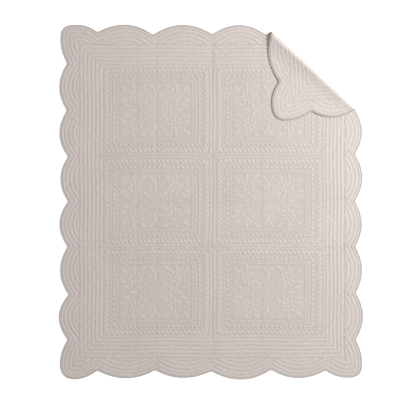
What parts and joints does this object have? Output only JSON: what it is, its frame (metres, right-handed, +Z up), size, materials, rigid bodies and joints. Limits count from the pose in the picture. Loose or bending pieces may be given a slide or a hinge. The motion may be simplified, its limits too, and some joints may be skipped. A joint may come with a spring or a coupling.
{
  "type": "quilted throw blanket",
  "caption": "Quilted throw with scalloped, bound edges, lying flat with its top right corner turned over to show the reverse.",
  "frame": {"origin": "middle of the cloth's outline, on the surface it lies on", "axes": "+X across the cloth towards the side with the turned-over corner, +Y along its length towards the end with that corner, +Z up out of the face"},
  "size_m": [1.524, 1.778, 0.0238],
  "materials": {
    "quilt": "matt quilted cotton",
    "binding": "matt bias-cut cotton"
  },
  "bodies": {
    "root": {"quilt": "quilt", "binding": "binding"}
  },
  "joints": []
}
